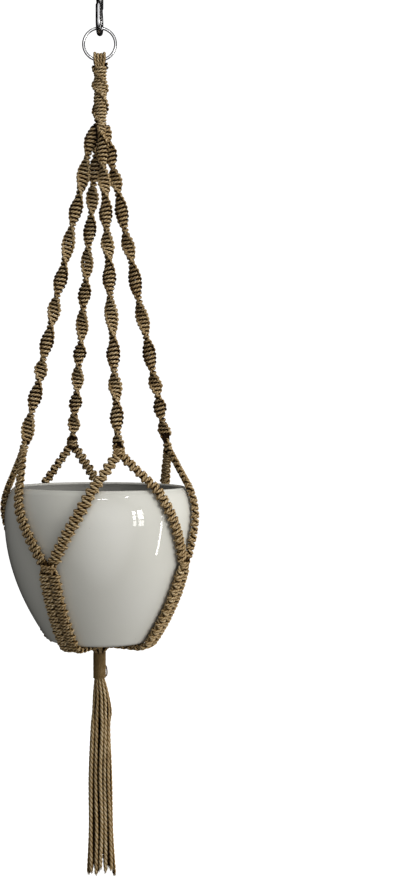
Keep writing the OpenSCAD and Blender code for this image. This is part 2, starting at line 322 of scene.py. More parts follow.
class Nodes:
    """A short way to write a node material."""

    def __init__(self, name):
        self.material = bpy.data.materials.new(name)
        self.material.use_nodes = True
        self.tree = self.material.node_tree
        self.shader = self.tree.nodes["Principled BSDF"]

    def add(self, kind, inputs=(), **settings):
        node = self.tree.nodes.new("ShaderNode" + kind)
        for key, value in settings.items():
            setattr(node, key, value)
        for key, value in dict(inputs).items():
            if isinstance(value, bpy.types.NodeSocket):
                self.tree.links.new(value, node.inputs[key])
            else:
                node.inputs[key].default_value = value
        return node

    def math(self, operation, a, b=0.0):
        return self.add("Math", {0: a, 1: b}, operation=operation).outputs[0]

    def noise(self, vector, scale, detail=3.0, roughness=0.6):
        inputs = {"Vector": vector, "Scale": scale, "Detail": detail, "Roughness": roughness}
        return self.add("TexNoise", inputs).outputs["Fac"]

    def ramp(self, factor, stops):
        node = self.add("ValToRGB", {"Fac": factor})
        band = node.color_ramp.elements
        while len(band) < len(stops):
            band.new(0.5)
        for element, (place, colour) in zip(band, stops):
            element.position = place
            element.color = (*colour, 1)
        return node.outputs["Color"]

    def spread(self, value, low, high, to_low, to_high):
        inputs = {"Value": value, "From Min": low, "From Max": high, "To Min": to_low, "To Max": to_high}
        return self.add("MapRange", inputs).outputs[0]

    def set(self, **values):
        for key, value in values.items():
            socket = self.shader.inputs[key.replace("_", " ")]
            if isinstance(value, bpy.types.NodeSocket):
                self.tree.links.new(value, socket)
            else:
                socket.default_value = value
        return self


# how fast red, green and blue fall off in the hollows, so that shaded fibre turns browner
SHADE_POWERS = (1.0, 1.18, 1.6)


def fibre_material(name, dark, middle, light, darkest_shade=0.03, fibre=6.0):
    """Twisted plant fibre: fine streaks along the plies, uneven dye, and painted shade that darkens the
    hollows between strands and the grooves between the plies.
    """
    n = Nodes(name)
    uv = n.add("UVMap", uv_map="strand").outputs[0]
    part = n.add("SeparateXYZ", {0: uv}).outputs
    angle = n.math("MULTIPLY", part[0], 2 * math.pi)
    ring = n.add(
        "CombineXYZ",
        {0: n.math("SINE", angle), 1: n.math("COSINE", angle), 2: n.math("MULTIPLY", part[1], 0.07)},
    ).outputs[0]
    tone = n.add("Attribute", attribute_name="tone").outputs["Fac"]
    own_place = n.add("CombineXYZ", {0: n.math("MULTIPLY", tone, 37.0)}).outputs[0]
    shift = n.add("VectorMath", {0: ring, 1: own_place}, operation="ADD").outputs[0]
    streak = n.noise(shift, fibre, 4.0, 0.75)
    place = n.add("TexCoord").outputs["Object"]
    blotch = n.noise(place, 90.0, 2.0)
    speck = n.noise(place, 900.0, 2.0, 0.7)
    light_or_dark = n.math(
        "ADD",
        n.math("ADD", n.math("MULTIPLY", streak, 0.95), n.math("MULTIPLY", blotch, 0.4)),
        n.math("ADD", n.math("MULTIPLY", tone, 0.16), n.math("MULTIPLY", speck, 0.35)),
    )
    colour = n.ramp(n.spread(light_or_dark, 0.6, 1.3, 0.0, 1.0), [(0.0, dark), (0.45, middle), (1.0, light)])
    # painted shade: the fibre is darkened, and browned, where its surface faces into the hollows between
    # strands and in the grooves between the plies
    opened = n.add("Attribute", attribute_name="open").outputs["Fac"]
    groove_shade = n.spread(n.math("COSINE", n.math("MULTIPLY", part[0], 6 * math.pi)), 0.0, 1.0, 1.0, 0.3)
    shade = n.math("MULTIPLY", n.spread(opened, 0.12, 0.92, darkest_shade, 1.0), groove_shade)
    channels = [n.math("POWER", shade, power) for power in SHADE_POWERS]
    shade_colour = n.add("CombineColor", dict(enumerate(channels))).outputs[0]
    mixed = {"Factor": 1.0, 6: colour, 7: shade_colour}
    shaded = n.add("Mix", mixed, data_type="RGBA", blend_type="MULTIPLY").outputs[2]
    bump = n.add("Bump", {"Height": streak, "Strength": 0.75, "Distance": 0.0004}).outputs[0]
    n.set(Base_Color=shaded, Normal=bump, Roughness=n.spread(streak, 0.3, 0.7, 0.82, 0.58))
    return n.set(Specular_IOR_Level=0.12).material


def steel_material(name, colour, rough, brushed):
    """Bare or plated steel with fine scratches and a few duller patches."""
    n = Nodes(name)
    place = n.add("TexCoord").outputs["Object"]
    drawn = n.add("Mapping", {"Vector": place, "Scale": (1.0, 1.0, 0.12)}).outputs[0]
    scratch = n.noise(drawn, 1100.0 if brushed else 500.0, 2.0, 0.6)
    patch = n.noise(place, 70.0, 2.0)
    n.set(
        Base_Color=n.ramp(patch, [(0.3, tuple(c * 0.8 for c in colour)), (0.7, colour)]),
        Roughness=n.math(
            "ADD", n.spread(scratch, 0.3, 0.7, rough, rough + 0.14), n.math("MULTIPLY", patch, 0.06)
        ),
        Normal=n.add("Bump", {"Height": scratch, "Strength": 0.04, "Distance": 0.00005}).outputs[0],
    )
    return n.set(Metallic=1.0).material


def glaze_material():
    """White glaze over a pale body: slightly uneven, with pinholes and faint pooling."""
    n = Nodes("white_glaze")
    place = n.add("TexCoord").outputs["Object"]
    cloud = n.noise(place, 9.0, 3.0, 0.5)
    ripple = n.noise(place, 30.0, 2.0, 0.5)
    pin = n.add("TexVoronoi", {"Vector": place, "Scale": 55.0}).outputs["Distance"]
    pinhole = n.spread(pin, 0.018, 0.04, 1.0, 0.0)
    clean = n.ramp(cloud, [(0.3, (0.73, 0.73, 0.67)), (0.5, (0.775, 0.775, 0.72)), (0.75, (0.8, 0.8, 0.755))])
    specked = {"Factor": n.math("MULTIPLY", pinhole, 0.45), 6: clean, 7: (0.42, 0.38, 0.32, 1)}
    colour = n.add("Mix", specked, data_type="RGBA").outputs[2]
    height = n.math("SUBTRACT", ripple, n.math("MULTIPLY", pinhole, 0.25))
    n.set(
        Base_Color=colour,
        Roughness=n.spread(ripple, 0.3, 0.7, 0.02, 0.05),
        Normal=n.add("Bump", {"Height": height, "Strength": 0.08, "Distance": 0.001}).outputs[0],
    )
    return n.set(Coat_Weight=0.35, Coat_Roughness=0.02, IOR=1.52).material


def inner_glaze_material():
    """The inside of the pot: pale glaze with painted shade that darkens a little way below the rim."""
    n = Nodes("inside_painted_shade")
    place = n.add("TexCoord").outputs["Object"]
    height = n.add("SeparateXYZ", {0: place}).outputs["Z"]
    ragged = n.math("ADD", height, n.math("MULTIPLY", n.noise(place, 60.0), 0.004))
    drop = n.spread(ragged, (RIM_Z - 26) * MM, (RIM_Z + 1) * MM, 0.0, 1.0)
    # painted shade: dark low inside the pot, paler up to the rim
    stops = [(0.0, (0.2, 0.195, 0.185)), (0.45, (0.36, 0.355, 0.34)), (1.0, (0.66, 0.66, 0.62))]
    colour = n.ramp(drop, stops)
    grain = n.noise(place, 500.0, 3.0, 0.6)
    bump = n.add("Bump", {"Height": grain, "Strength": 0.1, "Distance": 0.0003}).outputs[0]
    n.set(Base_Color=colour, Normal=bump)
    return n.set(Roughness=0.3).material


def biscuit_material():
    """The bare fired clay of the foot ring."""
    n = Nodes("bare_clay")
    place = n.add("TexCoord").outputs["Object"]
    grain = n.noise(place, 1400.0, 4.0, 0.7)
    n.set(
        Base_Color=n.ramp(grain, [(0.35, (0.42, 0.36, 0.28)), (0.65, (0.62, 0.56, 0.46))]),
        Normal=n.add("Bump", {"Height": grain, "Strength": 0.4, "Distance": 0.0003}).outputs[0],
    )
    return n.set(Roughness=0.85).material


JUTE = fibre_material("jute_fibre", (0.17, 0.105, 0.05), (0.58, 0.425, 0.235), (1.0, 0.88, 0.64))
TWINE = fibre_material(
    "twine_fibre", (0.09, 0.06, 0.025), (0.45, 0.32, 0.16), (0.9, 0.72, 0.45), darkest_shade=0.15, fibre=4.0
)

# ---------- tassel: sixteen free cords ----------

NECK_PLACES = (
    (-65, 1), (-33, 1), (0, 1), (33, 1), (65, 1),
    (-98, 1), (-108, 0), (-36, 0), (36, 0), (108, 0), (98, 1),
    (-126, 1), (-158, 1), (180, 0), (158, 1), (126, 1),
)
TASSEL_STEPS = [0, 0.075, 0.16, 0.245, 0.5, 0.77, 1]
OUTER_SHAPE = [5, 0.51, 0.605, 0.69, 0.765, 0.865, 1]
INNER_SHAPE = [2.1, 0.22, 0.3, 0.36, 0.4, 0.45, 0.5]
LOOSENED = [0, 0, 0.25, 0.5, 1, 1, 1]
TASSEL_DRIFT = [0.4, 1.9, 2.2, 1.2, 0.6, 1.2, 1.6]
CORD_SHAPE = [0.7, 0.82, 0.92, 0.96, 0.98, 1.0, 1.02]
ROW_DEPTH, ROW_STAGGER = 0.45, 0.5
CUT_STEPS = [0, 5, 2, 9, 4, 7, 1, 10, 3, 6, 8]
TASSEL_HAIRS, FRAY_HAIRS = 26, 26
STRAND_COUNT = 16


def tassel_place(number, row, column, step):
    """Place across the tassel at a step, from rings at the neck to three loose rows, as in the CAD."""
    turn, outer = NECK_PLACES[number - 1]
    ring_r = (OUTER_SHAPE if outer else INNER_SHAPE)[step]
    in_ring = around(turn, ring_r if step == 0 else ring_r * TASSEL_R, 0)
    half_w = OUTER_SHAPE[step] * TASSEL_R
    back = ROW_STAGGER if int(abs(column)) % 2 else -ROW_STAGGER
    in_row = np.array([half_w * column / 2.5, half_w * row * ROW_DEPTH + back, 0])
    return mix(in_ring, in_row, LOOSENED[step])


def tassel_strand(number):
    row = -1 if number <= 5 else 0 if number <= 11 else 1
    column = number - (3, 8.5, 14)[row + 1]
    az, outer = NECK_PLACES[number - 1]
    shape = OUTER_SHAPE if outer else INNER_SHAPE
    hidden = row == 0 and abs(column) < 2
    long = TASSEL_L - 5 - CUT_STEPS[number % 11]
    rows = [
        np.hstack([around(az, shape[0] * 0.84, TASSEL_TOP + 5.6), around(az, 1, 0), [1.15]]),
        np.hstack([around(az, shape[0] * 0.88, TASSEL_TOP + 3.2), around(az, 1, 0), [1.3]]),
    ]
    for k, share in enumerate(TASSEL_STEPS):
        sway = rng.normal(0, 0.22, 2) * min(k, 3)
        hang = [TASSEL_DRIFT[k] + sway[0], sway[1], TASSEL_TOP - long * share]
        place = tassel_place(number, row, column, k) + hang
        away = unit(np.array([column * 0.22, row + 1e-3, 0]) if k > 2 else around(az, 1, 0))
        rows.append(np.hstack([place, away, [CORD_D / 2 * CORD_SHAPE[k] * 1.08]]))
    rows = np.array(rows)
    weave = Weave()
    # the inner strands of the middle row, hidden behind the others, get deeper painted shade
    centres = weave.tube(rows, step=1.1, lay=-rng.uniform(13, 18), dim=0.5 if hidden else 1.0)
    weave.hairs(rows, TASSEL_HAIRS, 4.2)
    end, before = rows[-1], rows[-2]
    down = unit(end[:3] - before[:3])
    for _ in range(FRAY_HAIRS):
        side = unit(np.cross(down, rng.normal(0, 1, 3)))
        root = end[:3] + side * rng.uniform(0, 1.5) - down * 2
        tip = root + down * rng.uniform(3.5, 6.5) + side * rng.uniform(-0.2, 1.3)
        middle = mix(root, tip, 0.5) + rng.normal(0, 0.3, 3)
        fray = np.array([np.hstack([p, side, [q]]) for p, q in ((root, 0.3), (middle, 0.24), (tip, 0.1))])
        # the frayed fibres get one light painted shade
        weave.tube(fray, sides=3, step=2.4, lay=0, blunt=False, tone=rng.uniform(0.2, 1), lit=0.9)
    cord = weave.build(f"tassel_strand_{number}", JUTE)
    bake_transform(cord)
    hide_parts(f"tassel_cord_{number}")


for strand_number in range(1, STRAND_COUNT + 1):
    tassel_strand(strand_number)


# ---------- knots ----------


def knit(line, weave, pattern, period, first, count, pitch, a, b, r, shake=0.05, swell=None, **tube):
    """Repeats a knot pattern, in pitches, down a line. swell(s) gives the width's share at distance s."""
    rows = []
    for n in range(count):
        for u, w, t in pattern:
            s = (first + n * period + t) * pitch
            share = swell(s) if swell else 1
            rows.append((u * share, w * share, s))
    strand = line.strand(rows, a, b, r, shake)
    weave.tube(strand, **tube)
    return strand


# distance from knot to knot, half width, half depth and strand radius of each kind of work
SINNET_KNOT = {"pitch": 4.4, "a": 4.75, "b": 2.15, "r": 1.62}
CROWN_KNOT = {"pitch": 3.5, "a": 5.9, "b": 5.0, "r": 1.65}
SPLIT_KNOT = {"pitch": 4.2, "a": 3.7, "b": 2.9, "r": 1.8}
JOIN_KNOT = {"pitch": 4.4, "a": 5.0, "b": 2.4, "r": 1.85}
CROWN_X = 0.8
# a strand's way through one knot, as (share across, share outwards, pitches along)
HALF_KNOT = [
    (-1.35, 0.1, -0.45), (-0.85, 0.7, -0.08), (0, 1.1, 0), (0.85, 0.7, 0.08), (1.35, 0.1, 0.45),
    (1.1, 0.8, 0.8), (0.95, 0, 1.15), (0.6, -0.85, 1.08), (0, -1.1, 1), (-0.6, -0.85, 0.92),
    (-0.95, 0, 0.85), (-1.1, 0.8, 1.2),
]
SQUARE_FRONT = [(-1.35, 0.1, -0.45), (-0.85, 0.7, -0.05), (0, 1.1, 0), (0.85, 0.7, 0.05), (1.35, 0.1, 0.5)]
SQUARE_BACK = [
    (1.35, 0.1, -0.5), (1.1, 0.85, -0.2), (0.95, 0, 0.15), (0.6, -0.85, 0.08), (0, -1.1, 0),
    (-0.6, -0.85, -0.08), (-0.95, 0, -0.15), (-1.1, 0.85, 0.2),
]
HITCH = [
    (-1.0, 0.2, -0.46), (-0.95, 0.82, -0.17), (-0.35, 1.2, -0.05), (0.38, 1.2, 0.02), (1.03, 0.95, 0.04),
    (1.44, 0.12, 0.2), (1.03, -0.8, 0.34), (0.2, -1.15, 0.2), (-0.5, -0.9, 0.24), (-0.7, -0.2, 0.52),
    (-0.62, 0, 0.9), (-0.75, 0.05, 1.25),
]


def finish_piece(weave, name, body, slot, *nodes, material=JUTE):
    piece = weave.build(name, material)
    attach(piece, body)
    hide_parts(*nodes)
    return piece


def half_turns(turns, s):
    """The half turns that a sinnet has made at distance s, as the CAD counts them."""
    i, made = 1, 0
    s -= turns[0]
    while s > turns[i] and i < len(turns) - 1:
        made, s, i = made + 1, s - turns[i], i + 1
    return made + s / turns[i]


def twisted_line(a, b, turns):
    """A straight line whose section leans as the CAD's twisted band does."""
    along = unit(b - a)
    side = unit(np.cross(along, [0, 1, 0]))
    front = np.cross(side, along)
    return Line([a, b], [-front, -front], lambda s: math.radians(90 - 180 * half_turns(turns, s)))


branches = [around(SINNET_AZ + 90 * k, BRANCH_R, RIM_Z + BRANCH_RISE) + BRANCH_MOVES[k] for k in range(4)]
tops = [around(SINNET_AZ + 90 * k, SINNET_TOP_R, CROWN_LOW - 1.5) for k in range(4)]


def spiral(line, pitch, a, b, r, fillers, name, node, start=-1, stop=None, **tube):
    """A sinnet of half knots tied round filler strands."""
    weave = Weave()
    stop = line.length if stop is None else stop
    count = int((stop / pitch - start) / 2)
    for shift in (0, 1):
        rows = knit(line, weave, HALF_KNOT, 2, start + shift, count, pitch, a, b, r, 0.04, **tube)
        weave.hairs(rows, count * 3, 2.6)
    for u, w in fillers:
        rows = [(u, w, s) for s in np.linspace(start * pitch, stop, int(line.length / 12) + 2)]
        # the filler cords inside the sinnet are painted in full shade
        weave.tube(line.strand(rows, a, b, r * 0.95, 0.05), lit=0.0)
    finish_piece(weave, name, "hanger", "jute", node)


def sinnet_swell(s):
    """The width's share at distance s: half where a sinnet leaves the crown, full a few knots below."""
    return mix(0.5, 1, min(1, max(0, (s + 5) / 15)) ** 0.6)


SINNET_CORE = [(-0.28, 0), (0.28, 0), (-0.82, 0), (0.82, 0)]
for k, name in enumerate(SIDES):
    sinnet_line = twisted_line(tops[k], mix(tops[k], branches[k], 0.985), SINNET_TURNS[k])
    spiral(
        sinnet_line, **SINNET_KNOT, fillers=SINNET_CORE,
        name=f"{name}_sinnet_cords", node=f"{name}_sinnet", swell=sinnet_swell,
    )

crown_line = twisted_line(np.array([CROWN_X, 0, CROWN_TOP]), np.array([CROWN_X, 0, CROWN_LOW]), CROWN_TURNS)
crown_core = [(0.66 * math.cos(q), 0.62 * math.sin(q)) for q in np.arange(8) * math.pi / 4 + 0.3]
spiral(
    crown_line, **CROWN_KNOT, fillers=crown_core, name="crown_cords", node="crown_sinnet", start=0.6, stop=71
)


def tied(line, name, node, middle, pitch, a, b, r, count=1, fillers=(-0.3, 0.3), reach=8.0):
    """Square knots tied round two fillers at distance middle down the line."""
    weave = Weave()
    start = middle / pitch - (2 * count - 1) / 2
    front, back = [], []
    for n in range(2 * count):
        sign = -1 if n % 2 else 1
        (front if n % 2 == 0 else back).extend([(sign * u, w, start + n + t) for u, w, t in SQUARE_FRONT])
        (back if n % 2 == 0 else front).extend([(sign * u, w, start + n + t) for u, w, t in SQUARE_BACK])
    for places in (front, back):
        head, foot = places[0], places[-1]
        places = [(head[0] * 0.35, 0.2, head[2] - 0.9)] + places + [(foot[0] * 0.35, 0.2, foot[2] + 0.9)]
        rows = line.strand([(u, w, t * pitch) for u, w, t in places], a, b, r, 0.03)
        weave.tube(rows)
        weave.hairs(rows, 6, 2.6)
    for u in fillers:
        rows = [(u, 0, middle + s) for s in np.linspace(-reach, reach, 4)]
        # the fillers are painted in deep shade
        weave.tube(line.strand(rows, a, b, r), lit=0.2)
    finish_piece(weave, name, "hanger", "jute", node)


for k, name in enumerate(SIDES):
    along = unit(branches[k] - tops[k])
    points = [branches[k] + along * s for s in (-8, 0, 7)]
    out = around(azimuth_of(branches[k]), 1, 0)
    split_line = Line(points, [out] * 3)
    tied(split_line, f"{name}_split_cords", f"{name}_split_knot", middle=7.2, **SPLIT_KNOT, reach=5.5)

# ---------- cradle ----------


def pot_r(z):
    if z > WIDE_Z:
        return WIDE_R - (WIDE_R - RIM_R) * ((z - WIDE_Z) / WIDE_DROP) ** 2
    return WIDE_R - (WIDE_R - FOOT_R) * ((WIDE_Z - z) / SIDE_H) ** 2


def pot_slope(z):
    if z > WIDE_Z:
        return -2 * (WIDE_R - RIM_R) * (z - WIDE_Z) / WIDE_DROP**2
    return 2 * (WIDE_R - FOOT_R) * (WIDE_Z - z) / SIDE_H**2


def off_side(z, lift):
    out = unit([1, -pot_slope(z)])
    return [pot_r(z) + out[0] * lift, z + out[1] * lift, out[0], out[1]]


def off_round(q, lift):
    c, s = math.cos(math.radians(q)), math.sin(math.radians(q))
    return [ROUND_R + (FOOT_ROUND + lift) * c, ROUND_Z - (FOOT_ROUND + lift) * s, c, -s]


def off_base(r, lift):
    return [r, BASE_Z - lift, 0, -1]


def join_az(c):
    return JOIN_TURN + 90 * c


JOIN_SPREAD = math.degrees(math.asin(LEG_SIDE / off_side(JOIN_Z, BRAID_LIFT)[0]))


def arm_line(k, way):
    start_at = branches[k]
    az_from = azimuth_of(start_at)
    az_from += 360 * round((90 * k - az_from) / 360)
    az_to = join_az(k if way < 0 else k + 1) - way * JOIN_SPREAD
    az_rim = mix(az_from, az_to, RIM_SHARES[k][0 if way < 0 else 1])
    rim_place = off_side(RIM_Z - 2, BRAID_LIFT)
    on_rim = around(az_rim, rim_place[0], rim_place[1])
    start = mix(start_at, on_rim, 0.17)
    points = [mix(start, on_rim, i / 4) for i in range(4)]
    for i in range(8):
        place = off_side(mix(RIM_Z - 2, JOIN_Z + 5, i / 7), BRAID_LIFT)
        points.append(around(mix(az_rim, az_to, i / 7), place[0], place[1]))
    outs = []
    for p in points:
        r = math.hypot(p[0], p[1])
        out = unit([1, -pot_slope(min(p[2], RIM_Z))])
        outs.append([p[0] / r * out[0], p[1] / r * out[0], out[1]])
    return Line(points, outs)


def leg_line(c, way):
    places = [off_side(mix(JOIN_Z - 5.5, SIDE_END_Z + 1, i / 6), BRAID_LIFT) for i in range(7)]
    bends = (mix(FOOT_LEAN, 90, 0.15), mix(FOOT_LEAN, 90, 0.5), 84)
    places += [off_round(q, h + 0.6) for q, h in zip(bends, PRESSED)]
    places += [off_base(r, h + 0.6) for r, h in zip((36, 25, 17), PRESSED[3:])]
    aside = around(join_az(c) + 90, LEG_SIDE * way, 0)
    points = [around(join_az(c), p[0], p[1]) + aside for p in places]
    outs = [around(join_az(c), p[2], p[3]) for p in places]
    return Line(points, outs)


def hitched(
    line, name, node, start=-1.0, trail=3.0, pitch=4.0, a=3.95, b=1.75, r=1.9, widen=(0, 1), press_from=1000
):
    """Two strands that hitch round each other in turn.

    They widen over the reach of widen, and lie flatter beyond press_from.
    """
    weave = Weave()

    def pressed(places):
        reach = widen[1] - widen[0]
        wider = [mix(0.8, 1, min(1, max(0, (s - widen[0]) / reach))) for _, _, s in places]
        flatter = [mix(1, 0.66, min(1, max(0, (s - press_from) / 22))) for _, _, s in places]
        return [(u * wide, w * flat, s) for (u, w, s), wide, flat in zip(places, wider, flatter)]

    count = int(line.length / pitch / 2) - int(start / 2)
    step = (line.length - start * pitch) / (2 * count + 0.3)
    for hand in (0, 1):
        sign = -1 if hand else 1
        places = [(-0.6 * sign, 0, (start - 1) * pitch)]
        for n in range(count):
            places += [(sign * u, w, start * pitch + (2 * n + hand + 0.5 + t) * step) for u, w, t in HITCH]
        places.append((-0.6 * sign, 0, line.length + trail))
        rows = line.strand(pressed(places), a, b, r, 0.05)
        weave.tube(rows)
        weave.hairs(rows, 40, 2.6)
    core_steps = np.linspace((start - 0.5) * pitch, line.length, int(line.length / 12) + 2)
    core = pressed([(0, 0, s) for s in core_steps])
    # the core cord is painted in full shade
    weave.tube(line.strand(core, a, b, 1.5), lit=0.0)
    finish_piece(weave, name, "hanger", "jute", node)


ARM_WIDENS, LEG_PRESSED, JOIN_CLEARANCE = (25, 65), 62, 0.35
for k, side_name in enumerate(SIDES):
    for hand, way in HANDS:
        arm = arm_line(k, way)
        hitched(arm, f"{side_name}_arm_{hand}_cords", f"{side_name}_arm_{hand}", widen=ARM_WIDENS)

for c, corner in enumerate(CORNERS):
    for hand, way in HANDS:
        leg = leg_line(c, way)
        hitched(
            leg, f"{corner}_leg_{hand}_cords", f"{corner}_leg_{hand}",
            start=0.0, trail=0.0, a=3.9, press_from=leg.length - LEG_PRESSED,
        )
    spots = [off_side(JOIN_Z + z, BRAID_LIFT + JOIN_CLEARANCE) for z in (9, 4, 0, -4, -9)]
    join_line = Line(
        [around(join_az(c), p[0], p[1]) for p in spots], [around(join_az(c), p[2], p[3]) for p in spots]
    )
    tied(
        join_line, f"{corner}_join_cords", f"{corner}_join_knot",
        middle=join_line.length / 2, **JOIN_KNOT, fillers=(-0.42, 0.42), reach=7.0,
    )

# ---------- loops over the ring ----------


LOOP_STEP, LOOP_LAYER, LOOP_STRAND_R, LOOP_LEAN = 3.4, 2.5, 1.78, 0.75


def loops(layer, node):
    """Four folds side by side over the ring's wire, in the inner or the outer layer."""
    weave = Weave()
    for i in range(4):
        x = (i - 1.5) * LOOP_STEP
        rise = RING_R - math.sqrt(RING_R**2 - (abs(x) + 1.65) ** 2)
        r = RING_WIRE / 2 + 0.3 + rise + 1.45 + layer * LOOP_LAYER
        over = np.linspace(-math.pi / 2, math.pi / 2, 9)
        fold = [(x, r * math.sin(q), RING_LOW + r * math.cos(q)) for q in over]
        low = [(x * LOOP_LEAN, r * 0.8, CROWN_TOP - 2.0), (x * LOOP_LEAN, r * 0.6, CROWN_TOP - 6.0)]
        points = [(p[0], -p[1], p[2]) for p in reversed(low)] + fold + low
        rows = []
        for p in np.array(points):
            away = unit([0.3 * p[0], p[1], p[2] - RING_LOW + 1e-3])
            rows.append(np.hstack([p, away, [LOOP_STRAND_R]]))
        weave.tube(np.array(rows), step=0.8)
        weave.hairs(np.array(rows), 6, 2.2)
    finish_piece(weave, f"{node}_cords", "hanger", "jute", node)


loops(0, "loops_inner")
loops(1, "loops_outer")

# ---------- under the pot ----------

# radius, height and strand radius on the way from the foot to the neck
GATHER_PLACES = (
    (20, BASE_Z - 3.6, 1.8),
    (16.5, BASE_Z - 3.9, 1.8),
    (13.0, BASE_Z - 5.4, 1.8),
    (9.6, BASE_Z - 8.2, 1.7),
    (6.6, BASE_Z - 11.4, 1.5),
    (5.0, BASE_Z - 15, 1.25),
    (4.5, BASE_Z - 22, 1.2),
    (4.4, WRAP_LOW + 3, 1.2),
)
gather = Weave()
for c in range(4):
    for way in (-1, 1):
        for offset in (-1.6, 1.6):
            aside = around(join_az(c) + 90, LEG_SIDE * way + offset, 0)
            spread = azimuth_of(around(join_az(c), 15, 0) + aside)
            rows = []
            for r, z, thick in GATHER_PLACES:
                share = min(1.0, max(0.0, (19 - r) / 10))
                straight = around(join_az(c), r, z) + aside * (1 - 0.15 * share)
                turned = around(spread + 16 * share, r, z)
                place = mix(straight, turned, share)
                out = unit(np.array([place[0], place[1], -14.0 * (1 - share) - 1]))
                rows.append(np.hstack([place, out, [thick]]))
            gather.tube(np.array(rows))
            gather.hairs(np.array(rows), 4, 2.4)
finish_piece(gather, "gathered_cords", "hanger", "jute", "base_gather")

WRAP_COILS, TWINE_R = 29, 0.62
wrap = Weave()
angles = np.linspace(0, 360 * WRAP_COILS, WRAP_COILS * 20 + 1)
drop = (WRAP_TOP - WRAP_LOW - 1.2) / angles[-1]
coil = []
for q in angles:
    place = around(q, NECK_R - TWINE_R + rng.normal(0, 0.025), WRAP_TOP - 0.6 - drop * q)
    coil.append(np.hstack([place, around(q, 1, 0), [TWINE_R]]))
wrap.tube(np.array(coil), sides=8, step=1.0, lay=5.0, tone=0.5)
wrap.hairs(np.array(coil), 60, 2.2)
finish_piece(wrap, "wrapping_twine", "hanger", "twine", "neck_wrap", material=TWINE)

tail = Weave()
tail_places = [
    (-78, 5.6, 15.0), (-76, 6.8, 13.4), (-77, 7.8, 11.5), (-78, 8.2, 8.5),
    (-80, 8.3, 5.5), (-82, 7.8, 3.2), (-84, 6.2, 1.8),
]
rows = [
    np.hstack([around(180 + az, r, WRAP_LOW + z), around(180 + az, 1, 0), [0.85]]) for az, r, z in tail_places
]
tail.tube(np.array(rows), sides=8, step=0.7, lay=5.0, tone=0.7)
tail.hairs(np.array(rows), 8, 2.0)
finish_piece(tail, "tucked_end", "hanger", "twine", "wrap_tail", material=TWINE)

# ---------- pot ----------

GLAZE, CLAY, INSIDE_SHADE = glaze_material(), biscuit_material(), inner_glaze_material()


def pot():
    """The pot as one turned shell, slightly out of round, glazed outside and inside, the inside darkened
    below the rim with painted shade, with a bare foot ring.
    """
    lip = WALL / 2
    outside = [(pot_r(z), z) for z in np.linspace(RIM_Z - lip, WIDE_Z, 12)]
    outside += [(pot_r(z), z) for z in np.linspace(WIDE_Z, SIDE_END_Z, 30)[1:]]
    outside += [tuple(off_round(q, 0)[:2]) for q in np.linspace(FOOT_LEAN, 90, 9)[1:]]
    foot_steps = ((3, 0), (6.0, 0), (7.2, 0.5), (8.2, 1.6))
    foot = [(ROUND_R - step_in, BASE_Z + rise) for step_in, rise in foot_steps]
    under = [(r, BASE_Z + 1.8) for r in (30, 20, 10, 0.4)]
    inner_low = BASE_Z + FLOOR_T
    bowl_r = pot_r(inner_low + INNER_ROUND) - WALL
    floor = [(0.4, inner_low), (12, inner_low), (26, inner_low)]
    bowl = [
        (bowl_r - INNER_ROUND * (1 - math.cos(q)), inner_low + INNER_ROUND * (1 - math.sin(q)))
        for q in np.radians([90, 72, 54, 36, 18, 0])
    ]
    inside = [(pot_r(z) - WALL, z) for z in np.linspace(inner_low + INNER_ROUND, RIM_Z - lip, 26)[1:]]
    over_lip = np.radians(np.arange(165, 10, -15))
    top = [(RIM_R - lip + lip * math.cos(q), RIM_Z - lip + lip * math.sin(q)) for q in over_lip]
    profile = np.array(outside + foot + under + floor + bowl + inside + top)
    clay_from, clay_to = len(outside) - 2, len(outside) + 2
    sides = 160
    az = np.arange(sides) * 2 * math.pi / sides
    wobble = 0.12 * np.sin(2 * az + 0.7) + 0.08 * np.sin(3 * az + 2.1) + 0.05 * np.sin(5 * az)
    r = profile[:, :1] + wobble[None] * np.clip(profile[:, :1] / RIM_R, 0, 1)
    co = np.stack([r * np.sin(az), -r * np.cos(az), np.repeat(profile[:, 1:], sides, 1)], -1)
    rings = len(profile)
    i, j = np.meshgrid(np.arange(rings), np.arange(sides), indexing="ij")
    i2, j2 = (i + 1) % rings, (j + 1) % sides
    closed = np.stack([i * sides + j, i2 * sides + j, i2 * sides + j2, i * sides + j2], -1)
    hole = len(outside) + len(foot) + len(under) - 1
    faces = [tuple(f) for n in range(rings) if n != hole for f in closed[n]]
    faces.append(tuple(hole * sides + j for j in range(sides)))
    faces.append(tuple((hole + 1) * sides + j for j in reversed(range(sides))))
    mesh = bpy.data.meshes.new("glazed_pot")
    mesh.from_pydata((co.reshape(-1, 3) * MM).tolist(), [], [list(map(int, f)) for f in faces])
    mesh.materials.append(GLAZE)
    mesh.materials.append(CLAY)
    mesh.materials.append(INSIDE_SHADE)
    ring_of = np.repeat([n for n in range(rings) if n != hole], sides)
    marks = np.zeros(len(faces), np.int32)
    marks[: len(ring_of)] = (ring_of >= clay_from) & (ring_of < clay_to)
    marks[: len(ring_of)][(ring_of > hole) & (ring_of < len(profile) - len(top) + 2)] = 2
    marks[-1] = 2
    mesh.polygons.foreach_set("material_index", marks)
    mesh.polygons.foreach_set("use_smooth", np.ones(len(faces), bool))
    mesh.update()
    piece = bpy.data.objects.new("glazed_pot", mesh)
    scene.collection.objects.link(piece)
    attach(piece, "pot")
    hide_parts("pot")


pot()

# ---------- steel ----------


